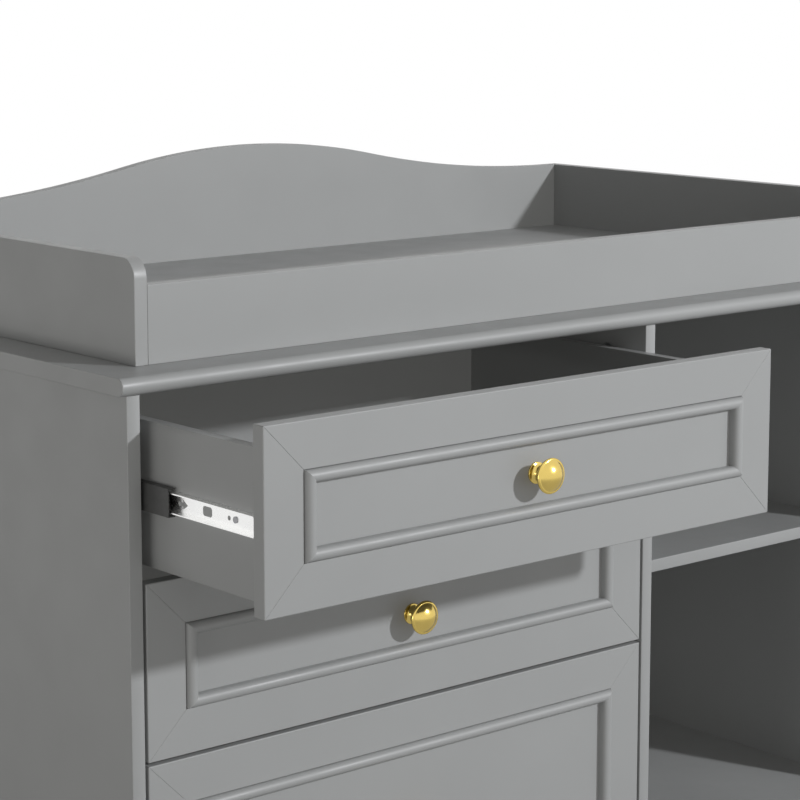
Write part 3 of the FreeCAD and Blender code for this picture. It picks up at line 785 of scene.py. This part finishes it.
# %% The floor's fade to white
def seen_directly(tree, path):
    """One for rays from the camera, and for those a reflection or glass sends on; else nought."""
    seen = path["Is Camera Ray"]
    for kind in ("Is Glossy Ray", "Is Transmission Ray"):
        seen = add(tree, "ShaderNodeMath", {0: seen, 1: path[kind]}, operation="MAXIMUM").outputs[0]
    return seen


floor_white = bpy.data.materials.new("white floor")
floor_white.use_nodes = True
tree = floor_white.node_tree
tree.nodes.clear()
place = add(tree, "ShaderNodeTexCoord").outputs["Object"]
distance = add(tree, "ShaderNodeVectorMath", {0: place}, operation="LENGTH")
fade = add(tree, "ShaderNodeMapRange",
           {"Value": distance.outputs["Value"], "From Min": fade_start, "From Max": fade_end,
            "To Min": near_glow},
           interpolation_type="SMOOTHSTEP")
path = add(tree, "ShaderNodeLightPath").outputs
share = add(tree, "ShaderNodeMath", {0: fade.outputs[0], 1: seen_directly(tree, path)},
            operation="MULTIPLY")
tone = add(tree, "ShaderNodeMix", {0: path["Is Camera Ray"], 6: bounce_grey, 7: floor_pale},
           data_type="RGBA")
paint = add(tree, "ShaderNodeBsdfDiffuse", {"Color": tone.outputs[2]})
glow = add(tree, "ShaderNodeEmission", {"Color": plain_white, "Strength": 1.0})
blend = add(tree, "ShaderNodeMixShader",
            {0: share.outputs[0], 1: paint.outputs[0], 2: glow.outputs[0]})
add(tree, "ShaderNodeOutputMaterial", {"Surface": blend.outputs[0]})
floor_mesh.materials.append(floor_white)
print("the floor is white from", fade_end, "m out")

# %% [markdown]
# ## The white round the piece
# The world is white where the camera, a reflection or glass sees it, and gives only a little light
# itself. That keeps the background white without washing out the shadows inside the open drawer
# and the bay.

# %% The world
card_white, world_light = (1.0, 0.985, 0.96), 0.05
world = bpy.data.worlds.new("white studio")
scene.world = world
world.use_nodes = True
tree = world.node_tree
tree.nodes.clear()
path = add(tree, "ShaderNodeLightPath").outputs
all_round = add(tree, "ShaderNodeBackground",
                {"Color": card_white + (1.0,), "Strength": world_light})
white = add(tree, "ShaderNodeBackground", {"Color": plain_white, "Strength": 1.0})
blend = add(tree, "ShaderNodeMixShader",
            {0: seen_directly(tree, path), 1: all_round.outputs[0], 2: white.outputs[0]})
add(tree, "ShaderNodeOutputWorld", {"Surface": blend.outputs[0]})
print("the world gives a light of", world_light)

# %% [markdown]
# ## Lamps
# One key lamp stands on the right, above and in front, and throws the soft-edged shadows. Two wide
# fills lift the front and the back, and a card on the left brings out the cabinet's side. The front
# fill casts no shadows, as light from a very large window would not, and neither fill shows in
# the metal.

# %% Lamps
def lamp(lamp_name, kind, energy, travel, colour, position=(0, 0, 0)):
    """A lamp that shines along travel."""
    data = bpy.data.lights.new(lamp_name, kind)
    data.energy, data.color = energy, colour
    made = bpy.data.objects.new(lamp_name, data)
    scene.collection.objects.link(made)
    made.location = position
    made.rotation_euler = Vector(travel).to_track_quat("-Z", "Y").to_euler()
    return made


key_white, fill_white = (0.985, 1.0, 1.03), (1.0, 0.985, 0.955)
key_energy, key_distance, key_size = 585, 3.6, 0.12
key_travel = Vector((-0.58, 1.0, -0.46))
lit_middle = sum(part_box("top_drawer_front_panel"), Vector()) / 2
key_place = lit_middle - key_distance * key_travel
key = lamp("key_lamp", "POINT", key_energy, key_travel, key_white, key_place)
key.data.shadow_soft_size = key_size

front_travel, front_energy = (0.2, 1, -0.15), 1.05
back_travel, back_energy = (-0.5, -1, -0.15), 1.5
fill_spread = math.radians(80.0)
front_fill = lamp("front_fill", "SUN", front_energy, front_travel, fill_white)
back_fill = lamp("back_fill", "SUN", back_energy, back_travel, fill_white)
front_fill.data.use_shadow = False
for fill in (front_fill, back_fill):
    fill.data.angle = fill_spread
    fill.visible_glossy = False

card_energy, card_travel, card_place = 24, (1, 0.1, 0), (-3.4, -0.3, 0.45)
card_length, card_height = 2.6, 0.8
side_card = lamp("side_card", "AREA", card_energy, card_travel, card_white, card_place)
side_card.data.shape = "RECTANGLE"
side_card.data.size, side_card.data.size_y = card_length, card_height
scene.view_settings.view_transform = "Standard"

# %% [markdown]
# ## The size of the finished piece
# The box round everything that renders, apart from the floor, is measured and its size printed.

# %% Measure the finished piece
low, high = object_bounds()
print("the finished piece spans", [round(edge, 4) for edge in high - low])
